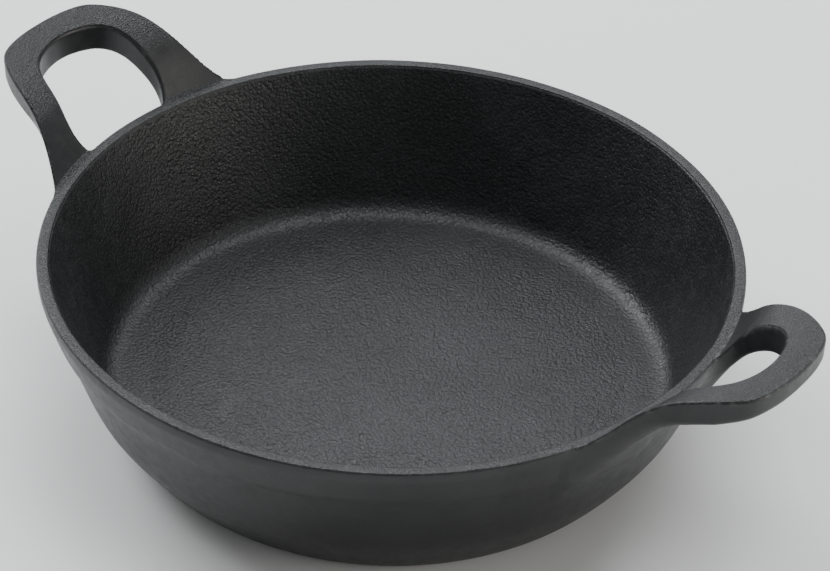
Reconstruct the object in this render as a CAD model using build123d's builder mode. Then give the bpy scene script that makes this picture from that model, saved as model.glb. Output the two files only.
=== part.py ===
"""Round cast iron pan with two loop handles, in millimetres.

One casting, modelled as the regions it is made of: floor, lower wall with its cove, side wall,
rim band and the two handles. The regions meet face to face.
Origin at the middle of the flat underside, +Z up, handles along X.
"""
import os
from math import atan, cos, radians, sin

from build123d import *

os.makedirs("parts", exist_ok=True)

# Driving dimensions
RIM_R = 90.0            # outer radius at the rim
RIM_T = 3.1             # thickness of the lip
HEIGHT = 48.5           # underside to lip
FLOOR_T = 9.0           # underside to cooking floor
PLATE_R = 62.0          # radius of the floor's own disc, the lower wall takes over there
BAND_H = 11.8           # height of the thicker band under the lip
BAND_FOOT_R = 87.2      # outer radius at the band's lower edge
WALL_TOP_R = 85.8       # outer radius of the wall just under the band
KNEE_R, KNEE_Z = 79.2, 17.0     # where the straight wall turns into the curved lower wall
BELLY_R, BELLY_Z = 74.2, 9.2    # a point half way down the curved lower wall
HEEL_R = 66.6           # where the curved lower wall would meet the underside
HEEL_ROUND = 2.5        # rounding of that edge
INNER_SLOPE = 0.349     # draft of the inside wall, radius per height
COVE_R = 6.0            # fillet between inside wall and floor
LIP_ROUND = 1.0         # rounding of both lip edges

LOOP_OUT = 30.3         # how far a handle stands out past the rim
HOLE_OUT = 22.0         # outer end of the finger hole past the rim
HOLE_HALF = 16.3        # half the width of the finger hole
ROOT_HALF = 36.8        # half the width of the handle's flared root, inside the band
# the handle along its length: out from the rim, top above the lip, upright thickness
LOOP = [
    (-9.0, -11.8, 8.0),
    (-3.0, -4.0, 8.0),
    (3.0, 4.4, 8.0),
    (9.0, 12.2, 8.0),
    (16.0, 16.9, 8.0),
    (24.0, 19.0, 7.4),
    (33.0, 19.8, 5.8),
]

# Derived dimensions
BAND_Z = HEIGHT - BAND_H
LIP_IN = RIM_R - RIM_T
draft = atan(INNER_SLOPE)
COVE_Z = FLOOR_T + COVE_R
cove_top_z = COVE_Z - COVE_R * sin(draft)
cove_top_r = LIP_IN - INNER_SLOPE * (HEIGHT - cove_top_z)
FLOOR_R = cove_top_r - COVE_R * cos(draft)
mid = (radians(90) + draft) / 2
cove_mid = (FLOOR_R + COVE_R * cos(mid), COVE_Z - COVE_R * sin(mid))
band_in = LIP_IN - INNER_SLOPE * BAND_H

# The floor: a flat disc, the cooking surface above and the resting face below
with BuildPart() as floor:
    with BuildSketch():
        Circle(PLATE_R)
    extrude(amount=FLOOR_T)
floor.part.label = "floor"
export_step(floor.part, "parts/floor.step")

# The lower wall: rim of the floor, cove inside, curved heel outside
with BuildPart() as lower_wall:
    with BuildSketch(Plane.XZ):
        with BuildLine():
            Line((PLATE_R, 0), (HEEL_R, 0))
            ThreePointArc((HEEL_R, 0), (BELLY_R, BELLY_Z), (KNEE_R, KNEE_Z))
            Line((KNEE_R, KNEE_Z), (cove_top_r, cove_top_z))
            ThreePointArc((cove_top_r, cove_top_z), cove_mid, (FLOOR_R, FLOOR_T))
            Line((FLOOR_R, FLOOR_T), (PLATE_R, FLOOR_T))
            Line((PLATE_R, FLOOR_T), (PLATE_R, 0))
        make_face()
    revolve(axis=Axis.Z)
    heel = [e for e in lower_wall.edges().filter_by(GeomType.CIRCLE) if abs(e.radius - HEEL_R) < 0.01]
    fillet(heel, radius=HEEL_ROUND)
lower_wall.part.label = "lower_wall"
export_step(lower_wall.part, "parts/lower_wall.step")

# The side wall: the straight drafted ring between the cove and the band
with BuildPart() as side_wall:
    with BuildSketch(Plane.XZ):
        with BuildLine():
            Polyline(
                (cove_top_r, cove_top_z),
                (KNEE_R, KNEE_Z),
                (WALL_TOP_R, BAND_Z),
                (band_in, BAND_Z),
                close=True,
            )
        make_face()
    revolve(axis=Axis.Z)
side_wall.part.label = "side_wall"
export_step(side_wall.part, "parts/side_wall.step")

# The rim band: the thicker ring under the lip that carries the handles
with BuildPart() as rim_band:
    with BuildSketch(Plane.XZ):
        with BuildLine():
            Polyline(
                (band_in, BAND_Z),
                (BAND_FOOT_R, BAND_Z),
                (RIM_R, HEIGHT - 2.6),
                (RIM_R, HEIGHT),
                (LIP_IN, HEIGHT),
                close=True,
            )
        make_face()
    revolve(axis=Axis.Z)
    lip = [e for e in rim_band.edges().filter_by(GeomType.CIRCLE) if abs(e.center().Z - HEIGHT) < 0.01]
    fillet(lip, radius=LIP_ROUND)
    foot = [e for e in rim_band.edges().filter_by(GeomType.CIRCLE) if abs(e.radius - BAND_FOOT_R) < 0.01]
    fillet(foot, radius=0.8)
rim_band.part.label = "rim_band"
export_step(rim_band.part, "parts/rim_band.step")

# The solid that a handle is trimmed with: everything inside the band's outer face, and below its foot
with BuildPart() as core:
    with BuildSketch(Plane.XZ):
        with BuildLine():
            Polyline(
                (0, KNEE_Z),
                (BAND_FOOT_R, KNEE_Z),
                (BAND_FOOT_R, BAND_Z),
                (RIM_R, HEIGHT - 2.6),
                (RIM_R, HEIGHT + 60),
                (0, HEIGHT + 60),
                close=True,
            )
        make_face()
    revolve(axis=Axis.Z)

# The right handle: a bent strap turned about the pan's axis, cut to a tapered loop seen from above
top_line = [(RIM_R + out, HEIGHT + rise) for out, rise, thick in LOOP]
under_line = [(RIM_R + out, HEIGHT + rise - thick) for out, rise, thick in LOOP]
with BuildPart() as handle_right:
    with BuildSketch(Plane.XZ):
        with BuildLine():
            Spline(*top_line)
            Line(top_line[-1], under_line[-1])
            Spline(*under_line)
            Line(under_line[0], top_line[0])
        make_face()
    revolve(axis=Axis.Z)
    # outline from above: a flat-ended tip, rounded shoulders, slanting legs that flare at the rim
    with BuildSketch(Plane.XY):
        with BuildLine():
            Spline(
                (RIM_R + LOOP_OUT, 0),
                (RIM_R + LOOP_OUT - 0.5, 7.9),
                (RIM_R + LOOP_OUT - 1.4, 12.1),
                (RIM_R + 27.2, 16.1),
                (RIM_R + 24.1, 19.2),
                (RIM_R + 16.5, 23.6),
                (RIM_R + 8.0, 26.6),
                (RIM_R + 1.5, 29.5),
                (RIM_R - 3.4, 32.5),
                (RIM_R - 9.0, ROOT_HALF),
                tangents=[(0, 1), (-0.8, 0.6)],
            )
            Line((RIM_R - 9.0, ROOT_HALF), (RIM_R - 30.0, ROOT_HALF))
            Line((RIM_R - 30.0, ROOT_HALF), (RIM_R - 30.0, 0))
            mirror(about=Plane.XZ)
        make_face()
    extrude(amount=120, mode=Mode.INTERSECT)
    # finger hole
    with BuildSketch(Plane.XY):
        with BuildLine():
            Spline(
                (RIM_R + HOLE_OUT, 0),
                (RIM_R + HOLE_OUT - 1.2, 7.2),
                (RIM_R + 18.2, 12.0),
                (RIM_R + 13.5, 15.0),
                (RIM_R + 8.0, HOLE_HALF),
                (RIM_R + 2.5, 18.0),
                (RIM_R - 3.0, 19.4),
                tangents=[(0, 1), (-1.0, 0.2)],
            )
            Line((RIM_R - 3.0, 19.4), (RIM_R - 20.0, 19.4))
            Line((RIM_R - 20.0, 19.4), (RIM_R - 20.0, 0))
            mirror(about=Plane.XZ)
        make_face()
    extrude(amount=120, mode=Mode.SUBTRACT)
    add(core.part, mode=Mode.SUBTRACT)
handle_right.part.label = "handle_right"
export_step(handle_right.part, "parts/handle_right.step")

# The left handle: the same loop on the other side
with BuildPart() as handle_left:
    add(handle_right.part.rotate(Axis.Z, 180))
handle_left.part.label = "handle_left"
export_step(handle_left.part, "parts/handle_left.step")
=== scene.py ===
import math

import bpy
import numpy as np
from mathutils import Matrix, Vector


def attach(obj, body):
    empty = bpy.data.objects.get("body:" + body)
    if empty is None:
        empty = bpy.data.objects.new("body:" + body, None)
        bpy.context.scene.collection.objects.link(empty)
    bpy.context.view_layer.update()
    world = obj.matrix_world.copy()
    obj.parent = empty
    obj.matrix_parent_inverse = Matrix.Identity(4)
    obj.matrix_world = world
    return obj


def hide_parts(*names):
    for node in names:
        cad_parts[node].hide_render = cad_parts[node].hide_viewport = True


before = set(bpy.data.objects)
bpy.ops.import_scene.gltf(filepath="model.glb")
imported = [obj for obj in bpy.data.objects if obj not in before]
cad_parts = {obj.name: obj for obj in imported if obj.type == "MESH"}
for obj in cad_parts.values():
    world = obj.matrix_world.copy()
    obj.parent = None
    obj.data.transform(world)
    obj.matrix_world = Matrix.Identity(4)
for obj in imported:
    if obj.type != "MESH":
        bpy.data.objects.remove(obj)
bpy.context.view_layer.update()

# ---------------------------------------------------------------------------
# Sizes in millimetres, as in the CAD model
# ---------------------------------------------------------------------------
RIM_R = 90.0
LIP_IN = 86.9
HEIGHT = 48.5
PLATE_R = 62.0
FLOOR_T = 9.0
BAND_Z = 36.7
BAND_FOOT_R = 87.2
WALL_TOP_R = 85.8
KNEE = (79.2, 17.0)
BELLY = (74.2, 9.2)
HEEL_R = 66.6
INNER_SLOPE = 0.349
COVE_R = 6.0

# A handle along its length, by how far it is out from the rim: its top above the lip, its thickness
LOOP_TOP = [(-9.0, -11.8), (-3.0, -4.0), (3.0, 4.4), (9.0, 12.2), (16.0, 16.9), (24.0, 19.0), (33.0, 19.8)]
LOOP_THICK = [(-9.0, 8.0), (16.0, 8.0), (22.0, 7.8), (30.3, 6.0), (33.0, 5.8)]

# One half of a handle seen from above, out from the rim and to the side, from the tip to the root
LOOP_OUTLINE = [
    (30.3, 0), (29.8, 7.9), (28.9, 12.1), (27.2, 16.1), (24.1, 19.2),
    (16.5, 23.6), (8.0, 26.6), (1.5, 29.5), (-3.4, 32.5), (-9.0, 36.8),
]
FINGER_HOLE = [
    (22.0, 0), (20.8, 7.2), (18.2, 12.0), (13.5, 15.0), (8.0, 16.3),
    (4.6, 17.0), (1.6, 16.7), (-0.8, 14.9), (-3.2, 11.5),
]

# How finely the shapes are made
SEGMENTS = 360
PROFILE_STEP = 0.2
TABLE_STEP = 0.1
GRID_STEP = 0.5

# The mould's unevenness: slow waves, none on the flat underside
WAVES = 14
WAVE_DEPTH = 0.016
WAVE_FADE_Z = 4
rng = np.random.default_rng(11)


# ---------------------------------------------------------------------------
# Small geometry helpers
# ---------------------------------------------------------------------------
def arc3(a, b, c, n):
    """Points on the circle through a, b, c, from a to c."""
    ax, ay, bx, by, cx, cy = *a, *b, *c
    aa, bb, cc = ax**2 + ay**2, bx**2 + by**2, cx**2 + cy**2
    d = 2 * (ax * (by - cy) + bx * (cy - ay) + cx * (ay - by))
    ux = (aa * (by - cy) + bb * (cy - ay) + cc * (ay - by)) / d
    uy = (aa * (cx - bx) + bb * (ax - cx) + cc * (bx - ax)) / d
    r = math.hypot(ax - ux, ay - uy)
    t = np.unwrap([math.atan2(p[1] - uy, p[0] - ux) for p in (a, b, c)])
    return [(ux + r * math.cos(u), uy + r * math.sin(u)) for u in np.linspace(t[0], t[2], n)]


def resample(points, step):
    """The same line with evenly spaced points."""
    p = np.asarray(points, float)
    length = np.concatenate([[0], np.cumsum(np.hypot(*np.diff(p, axis=0).T))])
    n = max(2, int(round(length[-1] / step)) + 1)
    t = np.linspace(0, length[-1], n)
    return np.stack([np.interp(t, length, p[:, 0]), np.interp(t, length, p[:, 1])], 1)


def spline(points, n, slope0=None, slope1=None):
    """Smooth curve through the points by a cubic spline on chord length."""
    p = np.asarray(points, float)
    t = np.concatenate([[0], np.cumsum(np.hypot(*np.diff(p, axis=0).T))])
    m = len(t)
    a, b = np.zeros((m, m)), np.zeros((m, 2))
    h, dp = np.diff(t), np.diff(p, axis=0) / np.diff(t)[:, None]
    for i in range(1, m - 1):
        a[i, i - 1 : i + 2] = 1 / h[i - 1], 2 * (1 / h[i - 1] + 1 / h[i]), 1 / h[i]
        b[i] = 3 * (dp[i - 1] / h[i - 1] + dp[i] / h[i])
    a[0, :2], b[0] = ((1, 0), slope0) if slope0 is not None else ((2, 1), 3 * dp[0])
    a[-1, -2:], b[-1] = ((0, 1), slope1) if slope1 is not None else ((1, 2), 3 * dp[-1])
    d = np.linalg.solve(a, b)
    u = np.linspace(0, t[-1], n)
    k = np.clip(np.searchsorted(t, u, side="right") - 1, 0, m - 2)
    x = ((u - t[k]) / h[k])[:, None]
    hk = h[k][:, None]
    return (
        (2 * x**3 - 3 * x**2 + 1) * p[k]
        + (x**3 - 2 * x**2 + x) * hk * d[k]
        + (3 * x**2 - 2 * x**3) * p[k + 1]
        + (x**3 - x**2) * hk * d[k + 1]
    )


def relax(p, weight, rounds):
    """Rounds the corners of a line; weight says how much at each point. The ends stay."""
    p = p.copy()
    for _ in range(rounds):
        p[1:-1] += weight[1:-1, None] * 0.5 * (p[:-2] + p[2:] - 2 * p[1:-1])
    return p


def thin(p, turn=1.2, gap=1.6):
    """Leaves out points where the line is straight."""
    keep = [0]
    heading = None
    for i in range(1, len(p) - 1):
        a = math.atan2(*(p[i] - p[i - 1])[::-1])
        b = math.atan2(*(p[i + 1] - p[i])[::-1])
        heading = a if heading is None else heading
        bend = abs((b - heading + math.pi) % (2 * math.pi) - math.pi)
        if bend > math.radians(turn) or np.hypot(*(p[i] - p[keep[-1]])) > gap:
            keep.append(i)
            heading = b
    return p[keep + [len(p) - 1]]


wave_k = rng.normal(size=(WAVES, 3))
wave_k *= (2 * math.pi / rng.uniform(16, 55, WAVES) / np.linalg.norm(wave_k, axis=1))[:, None]
wave_p = rng.uniform(0, 2 * math.pi, WAVES)


def as_cast(verts, normals):
    """Vertices and normals of the slightly uneven surface that the mould leaves."""
    phase = verts @ wave_k.T + wave_p
    depth = WAVE_DEPTH * np.clip(verts[:, 2:] / WAVE_FADE_Z, 0, 1)
    lift = depth * np.sin(phase).sum(1, keepdims=True)
    grad = depth * (np.cos(phase) @ wave_k)
    grad -= (grad * normals).sum(1)[:, None] * normals
    bent = normals - grad
    return verts + normals * lift, bent / np.linalg.norm(bent, axis=1)[:, None]


def lip_edge(points):
    """How close a point lies to one of the lip's two edges, 1 on the edge."""
    r, z = np.hypot(points[:, 0], points[:, 1]), points[:, 2]
    edges = (RIM_R - 0.3, LIP_IN + 0.3)
    near = [np.exp(-((r - edge) ** 2 + (z - HEIGHT) ** 2) / 0.8**2) for edge in edges]
    return np.maximum(*near)


def make_object(name, verts, faces, normals, edge, hidden=()):
    """Mesh object from millimetres, with the surface's own normals and its worn edges.

    The hidden faces, where two pieces meet, stay flat.
    """
    mesh = bpy.data.meshes.new(name)
    mesh.from_pydata((np.asarray(verts) / 1000).tolist(), [], [list(f) for f in faces])
    mesh.shade_smooth()
    corner_vertex = np.zeros(len(mesh.loops), int)
    mesh.loops.foreach_get("vertex_index", corner_vertex)
    corner_normal = normals[corner_vertex].astype(float)
    for index in hidden:
        face = mesh.polygons[index]
        face.use_smooth = False
        corner_normal[list(face.loop_indices)] = face.normal
    mesh.set_sharp_from_angle(angle=math.radians(50))
    mesh.normals_split_custom_set(corner_normal.tolist())
    worn_edge = mesh.attributes.new("edge", "FLOAT", "POINT")
    worn_edge.data.foreach_set("value", edge.astype(np.float32))
    obj = bpy.data.objects.new(name, mesh)
    bpy.context.scene.collection.objects.link(obj)
    return obj


# ---------------------------------------------------------------------------
# The bowl's profile, from the floor disc's edge below, round the outside, to its edge above
# ---------------------------------------------------------------------------
draft = math.atan(INNER_SLOPE)
cove_z = FLOOR_T + COVE_R
cove_top_z = cove_z - COVE_R * math.sin(draft)
cove_top_r = LIP_IN - INNER_SLOPE * (HEIGHT - cove_top_z)
cove_foot_r = cove_top_r - COVE_R * math.cos(draft)
mid = (math.pi / 2 + draft) / 2
cove_mid = (cove_foot_r + COVE_R * math.cos(mid), cove_z - COVE_R * math.sin(mid))
band_in = LIP_IN - INNER_SLOPE * (HEIGHT - BAND_Z)
WALL_TOP_Z = BAND_Z - 0.9

cornered = resample(
    [(PLATE_R, 0), (HEEL_R, 0)]
    + arc3((HEEL_R, 0), BELLY, KNEE, 40)
    + [(WALL_TOP_R, WALL_TOP_Z), (BAND_FOOT_R + 0.1, BAND_Z + 0.9), (RIM_R, HEIGHT - 2.6), (RIM_R, HEIGHT)]
    + [(LIP_IN, HEIGHT), (band_in, BAND_Z), (cove_top_r, cove_top_z)]
    + arc3((cove_top_r, cove_top_z), cove_mid, (cove_foot_r, FLOOR_T), 40)
    + [(PLATE_R, FLOOR_T)],
    PROFILE_STEP,
)
is_outer = np.arange(len(cornered)) < np.argmax(cornered[:, 1] > HEIGHT - 1e-6)
height = cornered[:, 1]
# Rounded most at the knee, less at the heel, the cove and the band's foot, hardly at the lip
soft = np.where(is_outer & (height > 6) & (height < 34), 1.0, 0.05)
soft[~is_outer & (height < HEIGHT - 6)] = 0.3
soft[is_outer & (height <= 6)] = 0.35
soft[is_outer & (height >= 34) & (height < 42)] = 0.20
profile = relax(cornered, soft, 160)
top = int(np.argmax(profile[:, 1]))
outside, inside = profile[: top + 1], profile[top:]


def at_height(points, z):
    """Index of the point nearest a height."""
    return int(np.argmin(np.abs(points[:, 1] - z)))


knee, wall_top = at_height(outside, KNEE[1]), at_height(outside, WALL_TOP_Z)
cove_top, band_foot = at_height(inside, cove_top_z), at_height(inside, BAND_Z)
RINGS = {
    "lower_wall": (outside[: knee + 1], inside[cove_top:]),
    "side_wall": (outside[knee : wall_top + 1], inside[band_foot : cove_top + 1]),
    "rim_band": (np.concatenate([outside[wall_top:], inside[1 : band_foot + 1]]), None),
}


def turned(line):
    """A line in radius and height, or its normals, swept once round the pan's axis."""
    angle = np.linspace(0, 2 * math.pi, SEGMENTS, endpoint=False)
    c, s = np.cos(angle)[:, None], np.sin(angle)[:, None]
    level = np.broadcast_to(line[:, 1], (SEGMENTS, len(line)))
    return np.stack([line[:, 0] * c, line[:, 0] * s, level], -1).reshape(-1, 3)


def lathe(name, outer, inner):
    """A closed ring turned from an outer and an inner line."""
    outer = thin(outer)
    line = outer if inner is None else np.concatenate([outer, thin(inner)])
    n = len(line)
    tangent = np.roll(line, -1, 0) - np.roll(line, 1, 0)
    tangent[0] = line[1] - line[0]
    tangent[n - 1] = line[n - 1] - line[n - 2]
    cuts = [n - 1]
    if inner is not None:
        k = len(outer)
        tangent[k - 1] = line[k - 1] - line[k - 2]
        tangent[k] = line[k + 1] - line[k]
        cuts.append(k - 1)
    normal = np.stack([tangent[:, 1], -tangent[:, 0]], 1)
    normal /= np.linalg.norm(normal, axis=1)[:, None]
    verts, normals = as_cast(turned(line), turned(normal))
    i = np.arange(SEGMENTS)[:, None]
    j = np.arange(n)[None, :]
    i2, j2 = (i + 1) % SEGMENTS, (j + 1) % n
    faces = np.stack([i * n + j, i2 * n + j, i2 * n + j2, i * n + j2], -1).reshape(-1, 4)
    hidden = [row * n + cut for row in range(SEGMENTS) for cut in cuts]
    return make_object(name, verts, faces, normals, lip_edge(verts), hidden)


def disc(name):
    """The floor: underside, edge and top, each side closed by one small face in the middle."""
    radii = np.concatenate([[1.2], np.linspace(3.5, PLATE_R, 32)])
    half = len(radii)
    n = 2 * half
    line = np.stack([np.concatenate([radii, radii[::-1]]), np.repeat([0.0, FLOOR_T], half)], 1)
    normal = np.stack([np.zeros(n), np.repeat([-1.0, 1.0], half)], 1)
    verts, normals = as_cast(turned(line), turned(normal))
    faces = []
    for i in range(SEGMENTS):
        row, next_row = i * n, (i + 1) % SEGMENTS * n
        faces += [(row + j, next_row + j, next_row + j + 1, row + j + 1) for j in range(n - 1)]
    faces.append([i * n for i in range(SEGMENTS)][::-1])
    faces.append([i * n + n - 1 for i in range(SEGMENTS)])
    hidden = [i * (n - 1) + half - 1 for i in range(SEGMENTS)]
    return make_object(name, verts, faces, normals, np.zeros(len(verts)), hidden)


# ---------------------------------------------------------------------------
# The handles: a distance field of the strap, blended into the bowl with a fillet, and its surface
# ---------------------------------------------------------------------------
def closed(half, back):
    """The half outline, its mirror image and a straight back."""
    side = np.concatenate([half, [(back, half[-1, 1])]])
    return np.concatenate([side, (side * [1, -1])[::-1][:-1]])


def polygon_distance(poly, x, y):
    """Signed distance to a closed polygon, negative inside."""
    a, b = poly, np.roll(poly, -1, 0)
    best = np.full(x.shape, 1e9)
    inside_it = np.zeros(x.shape, bool)
    for (ax, ay), (bx, by) in zip(a, b):
        ex, ey = bx - ax, by - ay
        t = np.clip(((x - ax) * ex + (y - ay) * ey) / (ex * ex + ey * ey + 1e-12), 0, 1)
        best = np.minimum(best, (x - ax - t * ex) ** 2 + (y - ay - t * ey) ** 2)
        crosses = (ay > y) != (by > y)
        inside_it ^= crosses & (x < (bx - ax) * (y - ay) / (by - ay + 1e-12) + ax)
    return np.where(inside_it, -1, 1) * np.sqrt(best)


def past_rim(points):
    """Points given from the rim outwards, as points from the pan's axis."""
    return [(RIM_R + out, side) for out, side in points]


outline = closed(spline(past_rim(LOOP_OUTLINE), 90, (0, 1), (-0.8, 0.6)), RIM_R - 30)
hole = closed(spline(past_rim(FINGER_HOLE), 70, (0, 1), (-0.5, -0.85)), RIM_R - 30)
top_curve = spline([(RIM_R + out, HEIGHT + rise) for out, rise in LOOP_TOP], 200)

# Distances to the bowl, and to the bowl with its inside filled, tabulated in radius and height
bowl_poly = np.concatenate([[(40.0, 0.0)], thin(profile, 2.0, 3.0), [(40.0, FLOOR_T)]])
filled_poly = np.concatenate([[(40.0, 0.0)], thin(outside, 2.0, 3.0), [(40.0, HEIGHT)]])
table_r, table_z = np.arange(66, 126, TABLE_STEP), np.arange(18, 76, TABLE_STEP)
table_grid = np.meshgrid(table_r, table_z, indexing="ij")
bowl_table = polygon_distance(bowl_poly, *table_grid)
filled_table = polygon_distance(filled_poly, *table_grid)


def look_up(t, r, z):
    """Distance read from a table in radius and height."""
    u = np.clip((r - table_r[0]) / TABLE_STEP, 0, len(table_r) - 1.001)
    v = np.clip((z - table_z[0]) / TABLE_STEP, 0, len(table_z) - 1.001)
    i, j = u.astype(int), v.astype(int)
    fu, fv = u - i, v - j
    below = (1 - fu) * (1 - fv) * t[i, j] + fu * (1 - fv) * t[i + 1, j]
    return below + (1 - fu) * fv * t[i, j + 1] + fu * fv * t[i + 1, j + 1]


def round_and(a, b, r):
    """Both, with the outer edge between them rounded."""
    return np.minimum(-r, np.maximum(a, b)) + np.hypot(np.maximum(a + r, 0), np.maximum(b + r, 0))


def round_or(a, b, r):
    """Either, with the inner edge between them filled."""
    return np.maximum(r, np.minimum(a, b)) - np.hypot(np.maximum(r - a, 0), np.maximum(r - b, 0))


def plan_distance(x, y):
    """Distances to the outline and to the finger hole seen from above, both negative within the strap."""
    return polygon_distance(outline, x, y), -polygon_distance(hole, x, y)


def top_height(r):
    """Height of the strap's top at a radius."""
    return np.interp(r, top_curve[:, 0], top_curve[:, 1])


def handle_field(x, y, z, plan):
    """Distance to one handle with its root, in the frame of the right-hand one, and its sharp edges."""
    d_out, d_hole = plan
    r = np.hypot(x, y)
    out = r - RIM_R
    top_z = top_height(r)
    slope = (top_height(r + 0.3) - top_height(r - 0.3)) / 0.6
    lean = 1 / np.sqrt(1 + slope**2)
    thick = np.interp(out, [p[0] for p in LOOP_THICK], [p[1] for p in LOOP_THICK])
    d_top = (z - top_z) * lean
    d_under = (top_z - thick - z) * lean
    side_draft = np.interp(out, [0, 9, 16, 26], [0.24, 0.30, 0.14, 0.04])
    d_side = d_out + side_draft * np.clip(top_z - z, 0, 9)
    belly_round = np.interp(out, [0, 8, 18, 28], [3.0, 3.0, 2.0, 1.5])
    upper = np.maximum(round_and(d_side, d_top, 0.9), round_and(d_hole, d_top, 1.0))
    lower = np.maximum(round_and(d_side, d_under, belly_round), round_and(d_hole, d_under, 0.9))
    strap = np.maximum(upper, lower)
    # a fillet to the bowl that runs out under the bowl's surface, with a hidden root just inside the wall
    bowl = look_up(bowl_table, r, z)
    blend = 0.7 + 3.0 * np.clip((HEIGHT + 0.5 - z) / 5.0, 0, 1)
    sunk = 0.02 + 0.5 * np.clip(strap - 0.85 * blend, 0, 1)
    joined = round_or(strap, bowl, blend) + sunk
    body = np.maximum(joined, round_and(-look_up(filled_table, r, z) - 1.8, strap - 3.8, 0.8))
    edge = np.exp(-(np.minimum(d_side**2, 1.5 * d_hole**2) + d_top**2) / 0.9**2)
    return body, edge * np.clip((out - 0.5) / 2, 0, 1)


def untangle(field):
    """Fills the samples beside which the solid would only touch itself along an edge."""
    for _ in range(4):
        for a, b in ((0, 1), (0, 2), (1, 2)):
            corner = {}
            for i in (0, 1):
                for j in (0, 1):
                    cut = [slice(None)] * 3
                    cut[a] = slice(i, field.shape[a] - 1 + i)
                    cut[b] = slice(j, field.shape[b] - 1 + j)
                    corner[i, j] = field[tuple(cut)]
            for i in (0, 1):
                solid = (corner[0, i] < 0) & (corner[1, 1 - i] < 0)
                empty = (corner[0, 1 - i] >= 0) & (corner[1, i] >= 0)
                corner[1, i][solid & empty] = -0.01


def surface_net(field, origin, step):
    """Vertices and quads of the zero level of a sampled field."""
    neg = field < 0
    cells = tuple(s - 1 for s in field.shape)
    total, count = np.zeros(cells + (3,)), np.zeros(cells)
    corners = [(a, b, c) for a in (0, 1) for b in (0, 1) for c in (0, 1)]

    def at(off):
        return tuple(slice(o, o + n) for o, n in zip(off, cells))

    for axis in range(3):
        for off in corners:
            if off[axis]:
                continue
            far = list(off)
            far[axis] = 1
            fa, fb = field[at(off)], field[at(far)]
            hit = neg[at(off)] != neg[at(far)]
            t = np.where(hit, fa / np.where(hit, fa - fb, 1), 0)
            for k in range(3):
                total[..., k] += hit * (off[k] + (t if k == axis else 0))
            count += hit
    live = count > 0
    index = np.full(cells, -1)
    index[live] = np.arange(live.sum())
    place = np.stack(np.nonzero(live), 1)
    verts = (place + total[live] / count[live][:, None]) * step + origin
    quads = []
    for axis in range(3):
        u, v = (axis + 1) % 3, (axis + 2) % 3
        lo = [slice(1, -1)] * 3
        hi = [slice(1, -1)] * 3
        lo[axis], hi[axis] = slice(0, -1), slice(1, None)
        flips = neg[tuple(lo)] != neg[tuple(hi)]
        base = np.stack(np.nonzero(flips), 1) + np.array([0 if k == axis else 1 for k in range(3)])
        outward = neg[tuple(base.T)]
        du, dv = np.eye(3, dtype=int)[u], np.eye(3, dtype=int)[v]
        around = ((1, 1), (0, 1), (0, 0), (1, 0))
        ring = np.stack([index[tuple((base - a * du - b * dv).T)] for a, b in around], 1)
        quads.append(np.where(outward[:, None], ring, ring[:, ::-1]))
    return verts, np.concatenate(quads)


def field_and_slope(verts):
    """The handle's distance, its gradient and its sharp edges at loose points."""
    d = 0.03
    x, y, z = verts.T
    here, right, left, behind, front = (
        plan_distance(x + a, y + b) for a, b in ((0, 0), (d, 0), (-d, 0), (0, d), (0, -d))
    )
    value, edge = handle_field(x, y, z, here)
    along_x = handle_field(x + d, y, z, right)[0] - handle_field(x - d, y, z, left)[0]
    along_y = handle_field(x, y + d, z, behind)[0] - handle_field(x, y - d, z, front)[0]
    along_z = handle_field(x, y, z + d, here)[0] - handle_field(x, y, z - d, here)[0]
    return value, np.stack([along_x, along_y, along_z], 1) / (2 * d), edge


def handle(name, on_left):
    """One handle: sampled, meshed, then each vertex pulled onto the exact surface."""
    origin = np.array([68.0, -44.0, 22.0])
    size = (109, 177, 98)
    xs, ys, zs = (origin[k] + GRID_STEP * np.arange(size[k]) for k in range(3))
    px, py = np.meshgrid(xs, ys, indexing="ij")
    plan = [d[:, :, None] for d in plan_distance(px, py)]
    field, _ = handle_field(px[:, :, None], py[:, :, None], zs[None, None, :], plan)
    untangle(field)
    verts, quads = surface_net(field, origin, GRID_STEP)
    for _ in range(3):
        value, grad, edge = field_and_slope(verts)
        size_sq = np.maximum((grad**2).sum(1), 0.25)
        verts = verts - (np.clip(value, -0.3, 0.3) / size_sq)[:, None] * grad
    normals = grad / np.linalg.norm(grad, axis=1)[:, None]
    if on_left:
        verts, normals = verts * [-1, -1, 1], normals * [-1, -1, 1]
    edge = np.maximum(edge, lip_edge(verts))
    verts, normals = as_cast(verts, normals)
    return make_object(name, verts, quads, normals, edge)


built = {name: lathe("iron_" + name, *lines) for name, lines in RINGS.items()}
built["floor"] = disc("iron_floor")
built["handle_right"] = handle("iron_handle_right", False)
built["handle_left"] = handle("iron_handle_left", True)

# ---------------------------------------------------------------------------
# Camera: azimuth and elevation seen from the pan, a small roll, a long lens
# ---------------------------------------------------------------------------
AZIMUTH = math.radians(35.9)
ELEVATION = math.radians(36.16)
ROLL = math.radians(2.10)
DISTANCE = 0.8766
FOCAL = 151.8
TARGET = Vector((0.0137, -0.0085, 0.0485))
right = Vector((math.cos(AZIMUTH), math.sin(AZIMUTH), 0.0))
away = Vector((-math.sin(AZIMUTH), math.cos(AZIMUTH), 0.0))
back = math.sin(ELEVATION) * Vector((0, 0, 1)) - math.cos(ELEVATION) * away
up = back.cross(right)
rolled_right = math.cos(ROLL) * right + math.sin(ROLL) * up
rolled_up = math.cos(ROLL) * up - math.sin(ROLL) * right
cam_data = bpy.data.cameras.new("camera")
cam_data.sensor_width = 36.0
cam_data.lens = FOCAL
cam_data.clip_start = 0.01
cam = bpy.data.objects.new("camera", cam_data)
pose = Matrix((rolled_right, rolled_up, back)).transposed().to_4x4()
pose.translation = TARGET + back * DISTANCE
cam.matrix_world = pose
bpy.context.scene.collection.objects.link(cam)
bpy.context.scene.camera = cam


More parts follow.
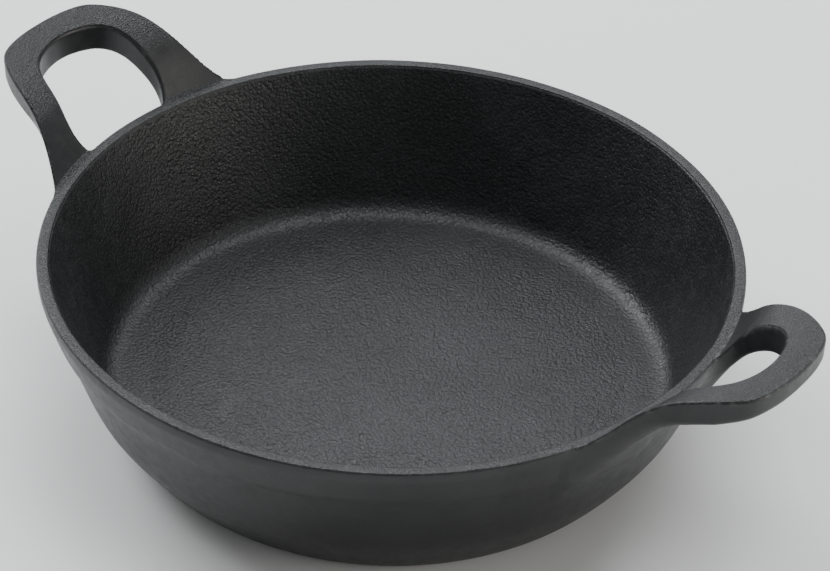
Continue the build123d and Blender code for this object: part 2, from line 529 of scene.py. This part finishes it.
# ---------------------------------------------------------------------------
# Cast iron: seasoned black, pebbled as cast inside, finer on the lip and handles, plainer outside
# ---------------------------------------------------------------------------
class Nodes:
    """Short ways to add shader nodes to one material."""

    def __init__(self, name):
        self.material = bpy.data.materials.new(name)
        self.material.use_nodes = True
        self.tree = self.material.node_tree
        self.shader = self.tree.nodes["Principled BSDF"]

    def put(self, socket, value):
        """Sets a socket to a value or links another socket to it."""
        if isinstance(value, bpy.types.NodeSocket):
            self.tree.links.new(value, socket)
        else:
            socket.default_value = value

    def math(self, operation, *values):
        """A Math node; its result isn't clamped."""
        node = self.tree.nodes.new("ShaderNodeMath")
        node.operation = operation
        for socket, value in zip(node.inputs, values):
            self.put(socket, value)
        return node.outputs[0]

    def vector(self, operation, *values):
        """A Vector Math node."""
        node = self.tree.nodes.new("ShaderNodeVectorMath")
        node.operation = operation
        for socket, value in zip(node.inputs, values):
            self.put(socket, value)
        return node.outputs[0]

    def split(self, value):
        """The three parts of a vector."""
        node = self.tree.nodes.new("ShaderNodeSeparateXYZ")
        self.put(node.inputs[0], value)
        return node.outputs

    def span(self, value, low, high, to_low=0.0, to_high=1.0):
        """Maps low..high smoothly to another range."""
        node = self.tree.nodes.new("ShaderNodeMapRange")
        node.interpolation_type = "SMOOTHSTEP"
        self.put(node.inputs["Value"], value)
        self.put(node.inputs["From Min"], low)
        self.put(node.inputs["From Max"], high)
        self.put(node.inputs["To Min"], to_low)
        self.put(node.inputs["To Max"], to_high)
        return node.outputs["Result"]

    def noise(self, where, per_mm, detail=2.0, rough=0.5, warp=0.0):
        """Noise with features of about 1 / per_mm millimetres, as a number and as a colour."""
        node = self.tree.nodes.new("ShaderNodeTexNoise")
        self.put(node.inputs["Vector"], where)
        self.put(node.inputs["Scale"], per_mm)
        self.put(node.inputs["Detail"], detail)
        self.put(node.inputs["Roughness"], rough)
        self.put(node.inputs["Distortion"], warp)
        return node.outputs["Fac"], node.outputs["Color"]

    def cells(self, where, per_mm):
        """Rounded pebbles, 1 at the middle of each."""
        node = self.tree.nodes.new("ShaderNodeTexVoronoi")
        self.put(node.inputs["Vector"], where)
        self.put(node.inputs["Scale"], per_mm)
        gap = node.outputs["Distance"]
        return self.math("SUBTRACT", 1.0, self.math("MULTIPLY", self.math("MULTIPLY", gap, gap), 1.3))

    def mix(self, factor, a, b):
        """A colour between a and b."""
        node = self.tree.nodes.new("ShaderNodeMix")
        node.data_type = "RGBA"
        self.put(node.inputs[0], factor)
        self.put(node.inputs[6], a)
        self.put(node.inputs[7], b)
        return node.outputs[2]

    def bump(self, height_mm):
        """Normals for a relief in millimetres."""
        node = self.tree.nodes.new("ShaderNodeBump")
        self.put(node.inputs["Strength"], 1.0)
        self.put(node.inputs["Distance"], 0.001)
        self.put(node.inputs["Height"], height_mm)
        return node.outputs["Normal"]


BLACK = (0.0085, 0.0089, 0.0096, 1)
# pale tone for the grain crests: some dust, mostly a painted glint on their tops
PALE_DUST_AND_GLINT = (0.050, 0.0515, 0.053, 1)
BARE = (0.16, 0.155, 0.15, 1)
ROUGH = 0.43
SHINE = 0.44
PEBBLES_PER_MM = 1.15
GRIT_PER_MM = 2.3
SAND_PER_MM = 1.9


def iron(name, coarse, fine, wear, top_dust_and_sheen=1.0):
    """Cast iron with a coarse grain inside the bowl and a fine one elsewhere, both in millimetres.

    Wear bares the metal on sharp edges. Grains that face up are paler, partly dust and partly a painted
    sheen on the tops that catch the light.
    """
    n = Nodes(name)
    coord = n.tree.nodes.new("ShaderNodeTexCoord")
    where = n.vector("MULTIPLY", coord.outputs["Object"], (1000, 1000, 1000))
    x, y, z = (n.math("MULTIPLY", out, 1000.0) for out in n.split(coord.outputs["Object"]))

    # where the surface faces up, and where it is inside the bowl
    upward = n.span(n.split(coord.outputs["Normal"])["Z"], 0.55, 0.95)
    r = n.math("SQRT", n.math("ADD", n.math("MULTIPLY", x, x), n.math("MULTIPLY", y, y)))
    wall = n.math("MULTIPLY_ADD", z, INNER_SLOPE, LIP_IN - INNER_SLOPE * HEIGHT)
    inside = n.span(n.math("SUBTRACT", r, wall), -0.2, 0.9, 1.0, 0.0)
    inside = n.math("MULTIPLY", inside, n.span(z, 3.0, 4.0))
    inside = n.math("MULTIPLY", inside, n.span(z, HEIGHT - 0.9, HEIGHT - 0.2, 1.0, 0.0))
    not_inside = n.math("SUBTRACT", 1.0, inside)

    # the grains
    shift = n.noise(where, 1.2)[1]
    pebbles = n.cells(n.vector("MULTIPLY_ADD", shift, (0.7, 0.7, 0.7), where), PEBBLES_PER_MM)
    grit = n.noise(where, GRIT_PER_MM, 2.0, 0.6, 0.3)[0]
    sand = n.cells(where, SAND_PER_MM)
    waves = n.noise(where, 0.16, 1.0)[0]
    clouds = n.noise(where, 0.045, 3.0, 0.6)[0]
    blotches = n.noise(where, 0.30, 2.0, 0.6)[0]

    # their relief, nearly smooth on the outer walls
    relief_in = n.math("ADD", n.math("MULTIPLY", pebbles, 0.55), n.math("MULTIPLY", grit, 0.6))
    relief_out = n.math("ADD", n.math("MULTIPLY", grit, 0.6), n.math("MULTIPLY", sand, 0.4))
    depth_in = n.math("MULTIPLY", inside, coarse)
    depth_out = n.math("MULTIPLY", not_inside, n.span(upward, 0.0, 1.0, 0.02, fine))
    relief_in = n.math("MULTIPLY", relief_in, depth_in)
    relief_out = n.math("MULTIPLY", relief_out, depth_out)
    relief = n.math("ADD", n.math("ADD", relief_in, relief_out), n.math("MULTIPLY", waves, 0.03))
    n.put(n.shader.inputs["Normal"], n.bump(relief))

    # their crests are paler, mostly a painted glint on the grain tops with some dust, and smoother, and so
    # are worn edges
    crests_in = n.span(n.math("ADD", n.math("MULTIPLY", pebbles, 0.5), grit), 0.92, 1.10)
    crests_out = n.span(n.math("ADD", n.math("MULTIPLY", sand, 0.5), grit), 0.90, 1.08)
    # upward faces get paler crests: dust, plus a painted sheen where the tops catch the light
    crests_out = n.math("MULTIPLY", crests_out, n.span(upward, 0.0, 1.0, 0.25, top_dust_and_sheen))
    crests_out = n.math("MULTIPLY", crests_out, not_inside)
    crests = n.math("ADD", n.math("MULTIPLY", crests_in, inside), crests_out)
    cloudy = n.math("MULTIPLY", n.span(clouds, 0.35, 0.7), n.span(blotches, 0.3, 0.7, 0.4, 1.0))
    # random mottling mixed with the crests' painted glint
    mottle_and_glint = n.math("ADD", n.math("MULTIPLY", cloudy, 0.2), n.math("MULTIPLY", crests, 0.8))
    edge = n.tree.nodes.new("ShaderNodeAttribute")
    edge.attribute_name = "edge"
    patchy = n.span(n.noise(where, 0.55, 3.0, 0.65)[0], 0.50, 0.68)
    worn = n.math("MULTIPLY", n.math("MULTIPLY", edge.outputs["Fac"], patchy), wear)
    n.put(n.shader.inputs["Base Color"], n.mix(worn, n.mix(mottle_and_glint, BLACK, PALE_DUST_AND_GLINT), BARE))
    rough = n.span(blotches, 0.3, 0.7, ROUGH - 0.04, ROUGH + 0.05)
    rough = n.math("SUBTRACT", rough, n.math("MULTIPLY", crests, 0.12))
    n.put(n.shader.inputs["Roughness"], n.math("SUBTRACT", rough, n.math("MULTIPLY", worn, 0.15)))
    n.put(n.shader.inputs["Specular IOR Level"], SHINE)
    return n.material


MATERIALS = {
    "floor": iron("iron_cooking_floor", 0.36, 0.05, 0),
    "lower_wall": iron("iron_lower_wall", 0.20, 0.04, 0),
    "side_wall": iron("iron_side_wall", 0.22, 0.04, 0),
    "rim_band": iron("iron_rim_band", 0.22, 0.30, 0.14),
    "handle_right": iron("iron_handle_right", 0.0, 0.36, 0.4),
    # the left handle's top is painted paler: a painted sheen where it catches the light, on top of its
    # dust
    "handle_left": iron("iron_handle_left", 0.0, 0.65, 0.25, 2.0),
}
for node, obj in built.items():
    obj.data.materials.append(MATERIALS[node])
    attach(obj, "root")
    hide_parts(node)


# ---------------------------------------------------------------------------
# Studio: pale table, dim cool surroundings, softboxes given by where they stand around the camera's view
# ---------------------------------------------------------------------------
def softbox(name, side, behind, height, width, depth, radiance, colour):
    """Area light to the right, behind and above the pan in metres, aimed at it."""
    data = bpy.data.lights.new(name, "AREA")
    data.shape = "RECTANGLE"
    data.size = width
    data.size_y = depth
    data.energy = radiance * math.pi * width * depth
    data.color = colour
    obj = bpy.data.objects.new(name, data)
    place = side * right + behind * away + Vector((0, 0, height))
    aim = (Vector((0, 0, 0.03)) - place).normalized()
    obj.matrix_world = Matrix.Translation(place) @ aim.to_track_quat("-Z", "Y").to_matrix().to_4x4()
    bpy.context.scene.collection.objects.link(obj)


softbox("key", -1.00, 0.75, 1.05, 0.9, 0.8, 10.7, (0.94, 0.975, 1.0))
softbox("overhead", 0.10, 0.30, 1.40, 1.1, 0.9, 4.8, (0.95, 0.98, 1.0))
softbox("behind", 0.35, 1.35, 1.15, 1.8, 1.2, 2.2, (0.93, 0.97, 1.0))
softbox("right_front", 1.40, -0.38, 0.36, 0.8, 0.6, 6.0, (1.0, 0.97, 0.92))

table_mesh = bpy.data.meshes.new("table")
table_mesh.from_pydata([(-3, -3, 0), (3, -3, 0), (3, 3, 0), (-3, 3, 0)], [], [(0, 1, 2, 3)])
table = bpy.data.objects.new("table", table_mesh)
bpy.context.scene.collection.objects.link(table)
paper = Nodes("pale_table")
paper.put(paper.shader.inputs["Base Color"], (0.86, 0.855, 0.845, 1))
paper.put(paper.shader.inputs["Roughness"], 0.9)
table_mesh.materials.append(paper.material)

world = bpy.data.worlds.new("surroundings")
bpy.context.scene.world = world
world.use_nodes = True
background = world.node_tree.nodes["Background"]
background.inputs["Color"].default_value = (0.97, 0.985, 1.0, 1)
background.inputs["Strength"].default_value = 0.33
